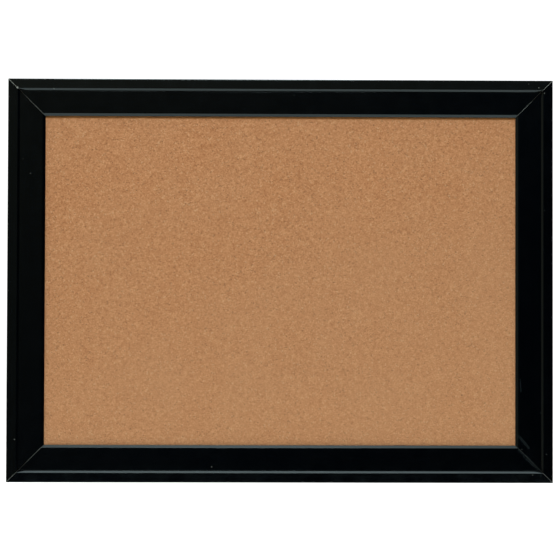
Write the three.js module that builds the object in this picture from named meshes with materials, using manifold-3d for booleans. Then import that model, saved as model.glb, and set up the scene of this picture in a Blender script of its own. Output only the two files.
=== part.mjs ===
// A framed cork bulletin board, 23 x 17 inches, for a wall. Units are millimetres.
//
// The frame stands in the XZ plane: +X runs to the right as a reader sees the board, +Z is up, and the
// cork faces -Y. The origin is on the wall, behind the middle of the board, so everything has y below 0.
//
// Four foil-wrapped MDF rails are mitred and held by V-nails. Their rebate holds a cork sheet, a softboard
// core and a hardboard back, kept in by framer's points. Four D-ring hangers and four rubber bumpers are
// on the back: one pair of hangers for a landscape board, and one pair on a stile for a portrait board.

import * as THREE from 'three';
import { mergeVertices } from 'three/addons/utils/BufferGeometryUtils.js';
import Module from 'manifold-3d';

// ---- Driving dimensions --------------------------------------------------------------------------------

const BOARD_WIDTH = 584.2; // 23 in
const BOARD_HEIGHT = 431.8; // 17 in
const BUMPER_HEIGHT = 4.5; // from the frame's back to the wall

const RAIL_WIDTH = 39.7; // outer edge to sight edge
const RAIL_THICKNESS = 16;
const LIP_THICKNESS = 5.7; // front of the rail to the rebate
const REBATE_WIDTH = 6;
const MITRE_GAP = 0.3;

// The moulding's face, from the outer edge inwards: a strip, a slope with a quirk at its foot, a wide band
// and a bevel down to the sight edge.
const STRIP_WIDTH = 10.5;
const STRIP_FALL = 0.6; // how much further back the strip is at its outer edge
const SLOPE_WIDTH = 1.9;
const BAND_DEPTH = 2; // the band lies this far behind the front
const QUIRK_WIDTH = 1.1;
const QUIRK_DEPTH = 0.4;
const BEVEL_WIDTH = 2.6;
const BEVEL_FALL = 2.2;
const OUTER_RADIUS = 1;

const CORK_THICKNESS = 1.6;
const CORE_THICKNESS = 3.8;
const BACK_THICKNESS = 2;
const GLUE_LINE = 0.1; // between one sheet and the next
const SHEET_PLAY = 1; // between the sheets' edges and the rebate's wall

const CLEARANCE = 0.3; // round a piece that sits in a pocket
const OVERCUT = 1; // how far a cutter runs past the face that it opens

const POINT = { width: 8, length: 15, thickness: 0.5, bite: 6, tip: 3.5 };
const VEE = { leg: 7, thickness: 0.6, height: 9, halfAngle: THREE.MathUtils.degToRad(50) };
const VEE_INSETS = { outer: 9, inner: 21 }; // from both outer edges to the apex

const STRAP = { width: 9.5, sheet: 0.8, tail: 20, screwAt: 15.2, eyeRadius: 2 };
const WIRE_RADIUS = 1;
const RING = { halfWidth: 7.25, reach: 10, corner: 1.6, seam: 0.3 };
const RING_REST = THREE.MathUtils.degToRad(5); // the ring leans on the strap, out from straight down
const HANGER_INSET = 12.2; // outer edge to the ring's axis
const SCREW = {
  headRadius: 3.4, rim: 0.7, dome: 1.3, shankRadius: 1.6, length: 10, tip: 3.5, hole: 11, seat: 0.05,
};
const RECESS = { width: 0.9, span: 3.6, depth: 1.1 };

const BUMPER = { radius: 5.5, flatRadius: 3.2, inset: 16.8, fromEnd: 48 };

// ---- Places worked out from them -----------------------------------------------------------------------

const FRAME_BACK = -BUMPER_HEIGHT;
const FRONT = FRAME_BACK - RAIL_THICKNESS;
const LIP_BACK = FRONT + LIP_THICKNESS;
const REBATE_WALL = RAIL_WIDTH - REBATE_WIDTH; // from the outer edge
const CORK_FRONT = LIP_BACK + GLUE_LINE;
const CORE_FRONT = CORK_FRONT + CORK_THICKNESS + GLUE_LINE;
const BACK_FRONT = CORE_FRONT + CORE_THICKNESS + GLUE_LINE;
const POINT_FRONT = BACK_FRONT + BACK_THICKNESS + GLUE_LINE;
const EYE_Y = FRAME_BACK + STRAP.eyeRadius;
const STRAP_BACK = FRAME_BACK + 2 * STRAP.sheet;

const ARC_STEPS = 3; // half the number of straights in each arc of an outline
const ROUND_STEPS = 16; // round a turned piece
const RING_STEPS = 40;
const WIRE_SIDES = 10;

const QUARTER = Math.PI / 2;

// The four sides. Each is built as a top rail, with its outer edge at z = 0, and turned about Y.
const SIDES = {
  top: { turn: 0, length: BOARD_WIDTH, edge: BOARD_HEIGHT / 2, rail: 'top_rail', points: 4 },
  right: { turn: QUARTER, length: BOARD_HEIGHT, edge: BOARD_WIDTH / 2, rail: 'right_stile', points: 3 },
  bottom: { turn: 2 * QUARTER, length: BOARD_WIDTH, edge: BOARD_HEIGHT / 2, rail: 'bottom_rail', points: 4 },
  left: { turn: 3 * QUARTER, length: BOARD_HEIGHT, edge: BOARD_WIDTH / 2, rail: 'left_stile', points: 3 },
};

// Hangers by side, as name and place along the rail: 16 in and 10 in apart.
const HANGERS = {
  top: [['top_left', -203.2], ['top_right', 203.2]],
  left: [['side_lower', -127], ['side_upper', 127]],
};

const MATERIALS = {
  foil: new THREE.MeshStandardMaterial({ color: 0x0c0e10, roughness: 0.35, metalness: 0 }),
  cork: new THREE.MeshStandardMaterial({ color: 0xb08058, roughness: 0.95, metalness: 0 }),
  softboard: new THREE.MeshStandardMaterial({ color: 0x9c8a70, roughness: 1, metalness: 0 }),
  hardboard: new THREE.MeshStandardMaterial({ color: 0x6b4a30, roughness: 0.8, metalness: 0 }),
  steel: new THREE.MeshStandardMaterial({ color: 0xb4b4b0, roughness: 0.35, metalness: 1 }),
  rubber: new THREE.MeshStandardMaterial({ color: 0x1c1c1c, roughness: 0.9, metalness: 0 }),
};

const board = new THREE.Group();

// ---- Solids --------------------------------------------------------------------------------------------

const wasm = await Module();
wasm.setup();

// A closed three.js geometry as a manifold-3d solid.
function solidOf(geometry) {
  const bare = geometry.clone();
  bare.deleteAttribute('normal');
  bare.deleteAttribute('uv');
  const merged = mergeVertices(bare, 1e-4);
  return new wasm.Manifold(new wasm.Mesh({
    numProp: 3,
    vertProperties: merged.attributes.position.array,
    triVerts: new Uint32Array(merged.index.array),
  }));
}

// A manifold-3d solid as a three.js geometry with flat faces.
function geometryOf(solid) {
  const { vertProperties, triVerts } = solid.getMesh();
  const shared = new THREE.BufferGeometry();
  shared.setAttribute('position', new THREE.BufferAttribute(vertProperties, 3));
  shared.setIndex(new THREE.BufferAttribute(triVerts, 1));
  const geometry = shared.toNonIndexed();
  geometry.computeVertexNormals();
  return geometry;
}

function cut(geometry, ...tools) {
  return geometryOf(tools.reduce((left, tool) => left.subtract(solidOf(tool)), solidOf(geometry)));
}

function common(geometry, other) {
  return geometryOf(solidOf(geometry).intersect(solidOf(other)));
}

// An outline in X and Z, made solid between two values of y.
function plate(outline, yLow, yHigh) {
  const geometry = new THREE.ExtrudeGeometry(outline, {
    depth: yHigh - yLow,
    bevelEnabled: false,
    curveSegments: ARC_STEPS,
  });
  return geometry.rotateX(QUARTER).translate(0, yHigh, 0);
}

// An outline in Y and Z, made solid for a length along X, about x = 0.
function bar(outline, length, curveSegments = ARC_STEPS) {
  const geometry = new THREE.ExtrudeGeometry(outline, {
    depth: length,
    bevelEnabled: false,
    curveSegments,
  });
  const toYZ = new THREE.Matrix4().makeBasis(
    new THREE.Vector3(0, 1, 0),
    new THREE.Vector3(0, 0, 1),
    new THREE.Vector3(1, 0, 0),
  );
  return geometry.translate(0, 0, -length / 2).applyMatrix4(toYZ);
}

function block(width, yLow, yHigh, zLow, zHigh) {
  return new THREE.BoxGeometry(width, yHigh - yLow, zHigh - zLow)
    .translate(0, (yLow + yHigh) / 2, (zLow + zHigh) / 2);
}

function add(parent, name, geometry, material) {
  const mesh = new THREE.Mesh(geometry, material);
  mesh.name = name;
  parent.add(mesh);
  return mesh;
}

// ---- Moulding ------------------------------------------------------------------------------------------

// The rail's cross-section in Y and Z, with its outer edge at z = 0 and the sight edge at z = -RAIL_WIDTH.
function mouldingSection() {
  const slopeEnd = STRIP_WIDTH + SLOPE_WIDTH;
  const bandStart = slopeEnd + QUIRK_WIDTH;
  const band = FRONT + BAND_DEPTH;
  const section = new THREE.Shape();
  section.moveTo(FRAME_BACK, 0);
  section.lineTo(FRONT + STRIP_FALL + OUTER_RADIUS, 0);
  section.absarc(FRONT + STRIP_FALL + OUTER_RADIUS, -OUTER_RADIUS, OUTER_RADIUS, QUARTER, Math.PI, false);
  section.lineTo(FRONT, -STRIP_WIDTH);
  section.lineTo(band, -slopeEnd);
  section.lineTo(band + QUIRK_DEPTH, -slopeEnd);
  section.lineTo(band + QUIRK_DEPTH, -bandStart);
  section.lineTo(band, -bandStart);
  section.lineTo(band, -(RAIL_WIDTH - BEVEL_WIDTH));
  section.lineTo(band + BEVEL_FALL, -RAIL_WIDTH);
  section.lineTo(LIP_BACK, -RAIL_WIDTH);
  section.lineTo(LIP_BACK, -REBATE_WALL);
  section.lineTo(FRAME_BACK, -REBATE_WALL);
  section.closePath();
  return section;
}

// The rail's front view: a trapezium whose ends stop half the mitre gap short of the 45 degree planes.
function mitreOutline(length) {
  const back = MITRE_GAP / Math.SQRT2;
  const outline = new THREE.Shape();
  const inner = RAIL_WIDTH + OVERCUT;
  outline.moveTo(-length / 2 + back - OVERCUT, OVERCUT);
  outline.lineTo(-length / 2 + back + inner, -inner);
  outline.lineTo(length / 2 - back - inner, -inner);
  outline.lineTo(length / 2 - back + OVERCUT, OVERCUT);
  outline.closePath();
  return outline;
}

// ---- Fixings -------------------------------------------------------------------------------------------

// A V on the mitre that runs inwards from an outer corner at (cornerX, 0). inwards is +1 or -1 along X.
// The apex is on the mitre, and grow widens the V all round, for its pocket.
function veeOutline(cornerX, inwards, inset, grow = 0) {
  const { leg, thickness, halfAngle } = VEE;
  const cos = Math.cos(halfAngle);
  const sin = Math.sin(halfAngle);
  const wall = thickness + 2 * grow;
  const apex = -grow / sin;
  const reach = leg + grow;
  const upperLeg = [
    [apex + reach * cos, reach * sin],
    [apex + reach * cos + wall * sin, reach * sin - wall * cos],
  ];
  const along = [
    [apex, 0],
    ...upperLeg,
    [apex + wall / sin, 0],
    ...upperLeg.toReversed().map(([p, q]) => [p, -q]),
  ];
  const turned = along.map(([p, q]) => new THREE.Vector2(
    cornerX + inwards * (inset + (p - q) * Math.SQRT1_2),
    -inset - (p + q) * Math.SQRT1_2,
  ));
  return new THREE.Shape(turned);
}

function veePockets(length) {
  const ends = [[-length / 2, 1], [length / 2, -1]];
  const floor = FRAME_BACK - VEE.height - CLEARANCE;
  return ends.flatMap(([cornerX, inwards]) => Object.values(VEE_INSETS).map(
    (inset) => plate(veeOutline(cornerX, inwards, inset, CLEARANCE), floor, FRAME_BACK + OVERCUT),
  ));
}

// A flat tab with its tip in the rebate's wall and its round tail over the hardboard.
function pointOutline(x) {
  const half = POINT.width / 2;
  const tip = -REBATE_WALL + POINT.bite;
  const outline = new THREE.Shape();
  outline.moveTo(x, tip);
  outline.lineTo(x - half, tip - POINT.tip);
  outline.lineTo(x - half, tip - POINT.length + half);
  outline.absarc(x, tip - POINT.length + half, half, Math.PI, 2 * Math.PI, false);
  outline.lineTo(x + half, tip - POINT.tip);
  outline.closePath();
  return outline;
}

function pointPlaces(side) {
  const pitch = (side.length - 2 * RAIL_WIDTH) / side.points;
  return Array.from({ length: side.points }, (_, i) => (i - (side.points - 1) / 2) * pitch);
}

function pointSlot(x) {
  const low = POINT_FRONT - CLEARANCE;
  const high = POINT_FRONT + POINT.thickness + CLEARANCE;
  const mouth = -REBATE_WALL - OVERCUT;
  const end = -REBATE_WALL + POINT.bite + CLEARANCE;
  return block(POINT.width + 2 * CLEARANCE, low, high, mouth, end).translate(x, 0, 0);
}

function screwHole(x) {
  const radius = SCREW.shankRadius + CLEARANCE;
  return new THREE.CylinderGeometry(radius, radius, SCREW.hole + OVERCUT, ROUND_STEPS)
    .translate(x, FRAME_BACK - (SCREW.hole - OVERCUT) / 2, -HANGER_INSET - STRAP.screwAt);
}

// ---- D-ring hanger: its origin is on the ring's axis, and the strap's tail runs to -Z --------------------

// A strip folded round the ring's bar, so that its two layers lie together below the eye.
function strapGeometry() {
  const back = STRAP_BACK - EYE_Y;
  const front = FRAME_BACK - EYE_Y;
  const meeting = -Math.sqrt(STRAP.eyeRadius ** 2 - back ** 2);
  const section = new THREE.Shape();
  section.moveTo(front, -STRAP.tail);
  section.lineTo(front, 0);
  section.absarc(0, 0, STRAP.eyeRadius, Math.PI, Math.atan2(meeting, back), true);
  section.lineTo(back, -STRAP.tail);
  section.closePath();
  const eye = new THREE.Path();
  eye.absarc(0, 0, WIRE_RADIUS + CLEARANCE, 0, 2 * Math.PI, false);
  section.holes.push(eye);

  const half = STRAP.width / 2;
  const past = STRAP.eyeRadius + OVERCUT;
  const plan = new THREE.Shape();
  plan.moveTo(-half, past);
  plan.lineTo(-half, -STRAP.tail + half);
  plan.absarc(0, -STRAP.tail + half, half, Math.PI, 2 * Math.PI, false);
  plan.lineTo(half, past);
  plan.closePath();

  const radius = SCREW.shankRadius + CLEARANCE;
  const hole = new THREE.CylinderGeometry(radius, radius, 2 * past, ROUND_STEPS)
    .translate(0, 0, -STRAP.screwAt);
  const folded = common(bar(section, STRAP.width, 2 * ARC_STEPS), plate(plan, -past, past));
  return cut(folded, hole);
}

// A wire bent to a D, with its butt seam in the middle of the bar, where the eye hides it.
function ringGeometry() {
  const { halfWidth, reach, corner, seam } = RING;
  const shoulder = reach - halfWidth; // where the bow's half circle starts
  const wire = new THREE.Shape();
  wire.absarc(0, 0, WIRE_RADIUS, 0, 2 * Math.PI, false);

  const outline = new THREE.Path();
  outline.moveTo(seam / 2, 0);
  outline.lineTo(halfWidth - corner, 0);
  outline.absarc(halfWidth - corner, -corner, corner, QUARTER, 0, true);
  outline.lineTo(halfWidth, -shoulder);
  outline.absarc(0, -shoulder, halfWidth, 0, -Math.PI, true);
  outline.lineTo(-halfWidth, -corner);
  outline.absarc(-halfWidth + corner, -corner, corner, Math.PI, QUARTER, true);
  outline.lineTo(-seam / 2, 0);
  const spine = outline.getSpacedPoints(RING_STEPS).map(({ x, y }) => new THREE.Vector3(x, 0, y));

  return new THREE.ExtrudeGeometry(wire, {
    extrudePath: new THREE.CatmullRomCurve3(spine),
    steps: RING_STEPS,
    bevelEnabled: false,
    curveSegments: WIRE_SIDES / 2,
  });
}

// A pan head screw along Y, its head on the strap and its tip in the rail.
function screwGeometry() {
  const { headRadius, rim, dome, shankRadius, length, tip } = SCREW;
  const profile = new THREE.Path();
  profile.moveTo(0, -length);
  profile.lineTo(shankRadius, -length + tip);
  profile.lineTo(shankRadius, 0);
  profile.lineTo(headRadius, 0);
  profile.lineTo(headRadius, rim);
  profile.absellipse(0, rim, headRadius, dome, 0, QUARTER, false);
  const turned = new THREE.LatheGeometry(profile.getPoints(ARC_STEPS), ROUND_STEPS);
  const arm = new THREE.BoxGeometry(RECESS.span, 2 * RECESS.depth, RECESS.width)
    .translate(0, rim + dome, 0);
  return cut(turned, arm, arm.clone().rotateY(QUARTER));
}

function addHanger(side, name, x) {
  const hanger = new THREE.Group();
  hanger.position.set(x, EYE_Y, -HANGER_INSET);
  side.add(hanger);
  add(hanger, `hanger_strap_${name}`, strapGeometry(), MATERIALS.steel);
  add(hanger, `d_ring_${name}`, ringGeometry(), MATERIALS.steel).rotation.x = RING_REST;
  add(hanger, `hanger_screw_${name}`, screwGeometry(), MATERIALS.steel)
    .position.set(0, STRAP_BACK - EYE_Y + SCREW.seat, -STRAP.screwAt);
}

// ---- Bumpers -------------------------------------------------------------------------------------------

// A stick-on pad along Y with a shoulder that rounds into its flat end.
function bumperGeometry() {
  const shoulder = BUMPER.radius - BUMPER.flatRadius;
  const profile = new THREE.Path();
  profile.moveTo(0, 0);
  profile.lineTo(BUMPER.radius, 0);
  profile.lineTo(BUMPER.radius, BUMPER_HEIGHT - shoulder);
  profile.absarc(BUMPER.flatRadius, BUMPER_HEIGHT - shoulder, shoulder, 0, QUARTER, false);
  profile.lineTo(0, BUMPER_HEIGHT);
  return new THREE.LatheGeometry(profile.getPoints(ARC_STEPS), ROUND_STEPS);
}

// ---- Assembly ------------------------------------------------------------------------------------------

for (const [sideName, side] of Object.entries(SIDES)) {
  // The outer group turns the side into place, and the inner one moves its outer edge to the board's.
  const turn = new THREE.Group();
  turn.rotation.y = side.turn;
  const edge = new THREE.Group();
  edge.position.z = side.edge;
  turn.add(edge);
  board.add(turn);

  const hangers = HANGERS[sideName] ?? [];
  const places = pointPlaces(side);
  const mitred = common(
    bar(mouldingSection(), side.length + 4 * OVERCUT),
    plate(mitreOutline(side.length), FRONT - OVERCUT, FRAME_BACK + OVERCUT),
  );
  const rail = cut(
    mitred,
    ...veePockets(side.length),
    ...places.map(pointSlot),
    ...hangers.map(([, x]) => screwHole(x)),
  );
  add(edge, side.rail, rail, MATERIALS.foil);

  places.forEach((x, i) => add(
    edge,
    `framer_point_${sideName}_${i + 1}`,
    plate(pointOutline(x), POINT_FRONT, POINT_FRONT + POINT.thickness),
    MATERIALS.steel,
  ));
  hangers.forEach(([name, x]) => addHanger(edge, name, x));
}

const CORNERS = {
  top_right: { turn: 0, x: 1, z: 1 },
  bottom_right: { turn: QUARTER, x: 1, z: -1 },
  bottom_left: { turn: 2 * QUARTER, x: -1, z: -1 },
  top_left: { turn: 3 * QUARTER, x: -1, z: 1 },
};

for (const [cornerName, { turn, x, z }] of Object.entries(CORNERS)) {
  const corner = new THREE.Group();
  corner.position.set((x * BOARD_WIDTH) / 2, 0, (z * BOARD_HEIGHT) / 2);
  corner.rotation.y = turn;
  board.add(corner);
  for (const [place, inset] of Object.entries(VEE_INSETS)) {
    const vee = plate(veeOutline(0, -1, inset), FRAME_BACK - VEE.height, FRAME_BACK);
    add(corner, `v_nail_${cornerName}_${place}`, vee, MATERIALS.steel);
  }

  const bumper = add(board, `bumper_${cornerName}`, bumperGeometry(), MATERIALS.rubber);
  bumper.position.set(
    x * (BOARD_WIDTH / 2 - BUMPER.fromEnd),
    FRAME_BACK,
    z * (BOARD_HEIGHT / 2 - BUMPER.inset),
  );
}

// The sheets in the rebate, from the front.
const SHEETS = [
  ['cork_sheet', CORK_FRONT, CORK_THICKNESS, MATERIALS.cork],
  ['softboard_core', CORE_FRONT, CORE_THICKNESS, MATERIALS.softboard],
  ['hardboard_back', BACK_FRONT, BACK_THICKNESS, MATERIALS.hardboard],
];

for (const [name, front, thickness, material] of SHEETS) {
  const width = BOARD_WIDTH - 2 * (REBATE_WALL + SHEET_PLAY);
  const height = BOARD_HEIGHT - 2 * (REBATE_WALL + SHEET_PLAY);
  const sheet = block(width, front, front + thickness, -height / 2, height / 2);
  add(board, name, sheet, material);
}

export default board;
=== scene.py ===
"""The looks of a framed cork bulletin board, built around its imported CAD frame. Everything is in metres.

+X runs to the right as a reader sees the board, +Z is up, and the cork faces -Y. The origin is on the wall
behind the middle of the board.
"""

import math

import bmesh
import bpy
import numpy as np
from mathutils import Matrix, Vector, noise


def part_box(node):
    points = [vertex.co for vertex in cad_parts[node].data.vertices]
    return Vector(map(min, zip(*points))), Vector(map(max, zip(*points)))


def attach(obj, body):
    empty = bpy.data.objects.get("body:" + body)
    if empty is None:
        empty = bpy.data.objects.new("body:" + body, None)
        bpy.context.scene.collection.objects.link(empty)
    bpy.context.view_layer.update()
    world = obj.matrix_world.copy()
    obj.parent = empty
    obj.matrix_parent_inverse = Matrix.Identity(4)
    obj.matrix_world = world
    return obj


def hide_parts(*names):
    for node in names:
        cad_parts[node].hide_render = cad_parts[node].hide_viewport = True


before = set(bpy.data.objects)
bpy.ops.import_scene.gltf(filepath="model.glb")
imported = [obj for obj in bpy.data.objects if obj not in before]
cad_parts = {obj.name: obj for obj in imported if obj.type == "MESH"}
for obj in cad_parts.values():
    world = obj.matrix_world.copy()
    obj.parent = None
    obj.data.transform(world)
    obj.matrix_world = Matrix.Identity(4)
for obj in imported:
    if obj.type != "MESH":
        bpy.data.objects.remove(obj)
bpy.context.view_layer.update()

MM = 0.001
QUARTER = math.pi / 2

# ---- Places, from the frame ---------------------------------------------------------------------------

top_low, top_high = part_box("top_rail")
WIDTH = 2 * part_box("right_stile")[1].x
HEIGHT = 2 * top_high.z
FRONT = top_low.y
FRAME_BACK = top_high.y
RAIL_WIDTH = top_high.z - top_low.z
RAIL_THICKNESS = FRAME_BACK - FRONT

# The four sides. Each is built as a top rail, with its outer edge at z = 0, and turned about Y.
SIDES = {
    "top": {"turn": 0, "length": WIDTH, "edge": HEIGHT / 2, "rail": "top_rail"},
    "right": {"turn": QUARTER, "length": HEIGHT, "edge": WIDTH / 2, "rail": "right_stile"},
    "bottom": {"turn": 2 * QUARTER, "length": WIDTH, "edge": HEIGHT / 2, "rail": "bottom_rail"},
    "left": {"turn": 3 * QUARTER, "length": HEIGHT, "edge": WIDTH / 2, "rail": "left_stile"},
}
POINTS = {"top": 4, "right": 3, "bottom": 4, "left": 3}  # framer's points
HANGERS = {"top": ("top_left", "top_right"), "left": ("side_lower", "side_upper")}
CORNERS = ("top_left", "top_right", "bottom_left", "bottom_right")

# ---- The moulding's section, as the CAD has it --------------------------------------------------------

STRIP_WIDTH = 10.5 * MM
STRIP_FALL = 0.6 * MM
SLOPE_WIDTH = 1.9 * MM
BAND_DEPTH = 2 * MM
QUIRK_WIDTH = 1.1 * MM
QUIRK_DEPTH = 0.4 * MM
BEVEL_WIDTH = 2.6 * MM
BEVEL_FALL = 2.2 * MM
OUTER_RADIUS = 1 * MM
LIP_THICKNESS = 5.7 * MM
REBATE_WIDTH = 6 * MM

# ---- What the looks add to the rails ------------------------------------------------------------------

FOIL_WRAP = 6 * MM  # how far the foil turns onto the frame's back
CREASE = 0.06 * MM  # how far from each edge of the section the foil starts to turn
BACK_RADIUS = 0.4 * MM  # where the foil turns onto the back
SUPPORT = 0.04 * MM  # keeps the shading of a round edge off the flat beside it
MITRE_GAP = 0.06 * MM  # the glue line that shows
ARRIS = 0.18 * MM  # where a rail's sawn end has lost its sharp edge
ARRIS_RUN = 1.4 * ARRIS  # the same, along the rail
POCKET_PLAY = 0.08 * MM  # round what is driven into the rails
ARC_STEPS = 8

# ---- Hangers, as the CAD has them ---------------------------------------------------------------------

EYE_RADIUS = 2 * MM
SHEET_METAL = 0.8 * MM
WIRE_RADIUS = 1 * MM
WIRE_PLAY = 0.3 * MM  # round the wire in the eye
STRAP_WIDTH = 9.5 * MM
STRAP_TAIL = 20 * MM
SCREW_AT = 15.2 * MM  # from the ring's axis
HANGER_INSET = 12.2 * MM  # outer edge to the ring's axis
RING_HALF_WIDTH = 7.25 * MM
RING_REACH = 10 * MM
RING_CORNER = 1.6 * MM
RING_SEAM = 0.3 * MM
RING_REST = math.radians(5)
EYE_Y = FRAME_BACK + EYE_RADIUS
STRAP_BACK = FRAME_BACK + 2 * SHEET_METAL

# ---- Node materials -----------------------------------------------------------------------------------

MIX_SHARE, MIX_FIRST, MIX_SECOND, MIX_RESULT = 0, 6, 7, 2  # a Mix node's sockets for colours


class Graph:
    """A node tree. Its methods add nodes and return their output sockets."""

    def __init__(self, owner, coordinates):
        owner.use_nodes = True
        self.nodes, self.links = owner.node_tree.nodes, owner.node_tree.links
        self.place = self.nodes.new("ShaderNodeTexCoord").outputs[coordinates]

    def put(self, socket, value):
        """Links an input to an output socket, or sets it to a constant."""
        if isinstance(value, bpy.types.NodeSocket):
            self.links.new(value, socket)
        else:
            socket.default_value = value

    def math(self, operation, *values, clamp=False):
        node = self.nodes.new("ShaderNodeMath")
        node.operation = operation
        node.use_clamp = clamp
        for socket, value in zip(node.inputs, values):
            self.put(socket, value)
        return node.outputs["Value"]

    def axes(self):
        node = self.nodes.new("ShaderNodeSeparateXYZ")
        self.put(node.inputs["Vector"], self.place)
        return node.outputs["X"], node.outputs["Y"], node.outputs["Z"]

    def glow(self, colour, strength):
        node = self.nodes.new("ShaderNodeBackground")
        self.put(node.inputs["Color"], colour)
        self.put(node.inputs["Strength"], strength)
        return node.outputs["Background"]

    def mix(self, share, first, second):
        node = self.nodes.new("ShaderNodeMix")
        node.data_type = "RGBA"
        self.put(node.inputs[MIX_SHARE], share)
        for index, colour in ((MIX_FIRST, first), (MIX_SECOND, second)):
            linked = isinstance(colour, bpy.types.NodeSocket)
            self.put(node.inputs[index], colour if linked else (*colour, 1))
        return node.outputs[MIX_RESULT]

    def step(self, value, low, high, from_value=0.0, to_value=1.0):
        """A smooth step of value: from_value below low, to_value above high."""
        node = self.nodes.new("ShaderNodeMapRange")
        node.interpolation_type = "SMOOTHSTEP"
        sockets = ("Value", "From Min", "From Max", "To Min", "To Max")
        for name, entry in zip(sockets, (value, low, high, from_value, to_value)):
            self.put(node.inputs[name], entry)
        return node.outputs["Result"]


class Look(Graph):
    """A node material around one Principled shader."""

    def __init__(self, name, **shader_values):
        self.material = bpy.data.materials.new(name)
        super().__init__(self.material, "Object")
        self.shader = self.nodes["Principled BSDF"]
        for key, value in shader_values.items():
            self.shader.inputs[key.replace("_", " ")].default_value = value

    def set(self, name, value):
        self.put(self.shader.inputs[name], value)

    def stretched(self, scale):
        node = self.nodes.new("ShaderNodeMapping")
        self.put(node.inputs["Vector"], self.place)
        node.inputs["Scale"].default_value = scale
        return node.outputs["Vector"]

    def noise(self, size, detail=2.0, roughness=0.5, vector=None):
        node = self.nodes.new("ShaderNodeTexNoise")
        self.put(node.inputs["Vector"], vector or self.place)
        node.inputs["Scale"].default_value = 1 / size
        node.inputs["Detail"].default_value = detail
        node.inputs["Roughness"].default_value = roughness
        return node.outputs["Fac"]

    def ragged(self, size, spread):
        """A length that wanders about zero, for ragged outlines."""
        return self.math("MULTIPLY", self.math("SUBTRACT", self.noise(size, 3.0), 0.5), spread)

    def cells(self, output, size, feature="F1", vector=None):
        node = self.nodes.new("ShaderNodeTexVoronoi")
        node.feature = feature
        self.put(node.inputs["Vector"], vector or self.place)
        node.inputs["Scale"].default_value = 1 / size
        return node.outputs[output]

    def cell_number(self, size, vector=None):
        """One random number for each cell."""
        node = self.nodes.new("ShaderNodeSeparateColor")
        self.put(node.inputs["Color"], self.cells("Color", size, vector=vector))
        return node.outputs["Red"]

    def ramp(self, value, stops):
        node = self.nodes.new("ShaderNodeValToRGB")
        self.put(node.inputs["Fac"], value)
        elements = node.color_ramp.elements
        while len(elements) < len(stops):
            elements.new(0.5)
        for element, (position, colour) in zip(elements, stops):
            element.position = position
            element.color = (*colour, 1)
        return node.outputs["Color"]

    def bump(self, height, depth, below=None):
        """Bumps the surface, on top of the bumps below."""
        node = self.nodes.new("ShaderNodeBump")
        self.put(node.inputs["Height"], height)
        node.inputs["Distance"].default_value = depth
        if below is not None:
            self.links.new(below, node.inputs["Normal"])
        self.links.new(node.outputs["Normal"], self.shader.inputs["Normal"])
        return node.outputs["Normal"]

    def from_joints(self):
        """The distances to the nearest mitre, in the plane of the front, and to the nearest outer edge."""
        x, _, z = self.axes()
        inside_x = self.math("SUBTRACT", WIDTH / 2, self.math("ABSOLUTE", x))
        inside_z = self.math("SUBTRACT", HEIGHT / 2, self.math("ABSOLUTE", z))
        apart = self.math("ABSOLUTE", self.math("SUBTRACT", inside_x, inside_z))
        return self.math("MULTIPLY", apart, math.sqrt(0.5)), self.math("MINIMUM", inside_x, inside_z)

    def on_stile(self):
        """1 on the left and right stiles, 0 on the top and bottom rails."""
        x, _, z = self.axes()
        across = self.math("SUBTRACT", self.math("ABSOLUTE", x), self.math("ABSOLUTE", z))
        return self.math("GREATER_THAN", across, WIDTH / 2 - HEIGHT / 2)

    def by_corner(self, values):
        """One of four values, for the corner of the board that a point is nearest to."""
        x, _, z = self.axes()
        low = self.step(x, -MM, MM, values["bottom_left"], values["bottom_right"])
        high = self.step(x, -MM, MM, values["top_left"], values["top_right"])
        return self.step(z, -MM, MM, low, high)

    def spot(self, x, z, radius, ragged):
        """1 inside a ragged spot on the front, 0 outside."""
        return self.stroke(x, z, x, z, radius, ragged)

    def stroke(self, x0, z0, x1, z1, radius, ragged):
        """1 inside a ragged stroke from (x0, z0) to (x1, z1), 0 outside."""
        x, _, z = self.axes()
        across, up = x1 - x0, z1 - z0
        length_squared = max(across * across + up * up, 1e-12)  # a spot has no length
        dx = self.math("SUBTRACT", x, x0)
        dz = self.math("SUBTRACT", z, z0)
        along = self.math("ADD", self.math("MULTIPLY", dx, across), self.math("MULTIPLY", dz, up))
        share = self.math("DIVIDE", along, length_squared, clamp=True)
        off_x = self.math("SUBTRACT", dx, self.math("MULTIPLY", share, across))
        off_z = self.math("SUBTRACT", dz, self.math("MULTIPLY", share, up))
        squares = self.math("ADD", self.math("POWER", off_x, 2.0), self.math("POWER", off_z, 2.0))
        distance = self.math("ADD", self.math("SQRT", squares), ragged)
        return self.step(distance, 0.6 * radius, radius, 1.0, 0.0)


# Wear on the frame's front, in millimetres. Each chip is (x, z, radius, how pale).
CHIPS = (
    (-282, 206, 1.2, 1.0),
    (-243, 205, 0.7, 0.4),
    (277, 208, 0.7, 0.35),
    (266, 212, 0.5, 0.2),
    (283, 202, 0.7, 0.35),
    (265, 189, 0.8, 0.12),
    (-283, -170, 0.7, 0.4),
    (285, -185, 0.7, 0.12),
    (270, -207, 0.7, 0.25),
    (259, -180, 0.5, 0.15),
    (-73, -199, 0.7, 0.25),
    (-276, 130, 0.6, 0.1),
    (-268, 114, 0.6, 0.2),
    (283, 76, 0.5, 0.15),
    (14, 199, 0.5, 0.1),
    (279, -141, 0.9, 0.06),
)
# Each smear is (x0, z0, x1, z1, radius).
SMEARS = (
    (256, -166, 266, -178, 1.9),
    (256, -181, 263, -188, 1.6),
    (262, -187, 271, -196, 2.5),
    (270, -195, 279, -203, 2.0),
    (279, -204, 279, -209, 0.7),
    (257, -105, 258, -118, 0.8),
)
# How pale the core shows along each corner's mitre, over the outer strip and further in.
MITRE_WEAR = {
    "top_left": (0.85, 0.38),
    "top_right": (0.6, 0.28),
    "bottom_left": (0.42, 0.32),
    "bottom_right": (0.28, 0.06),
}


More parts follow.
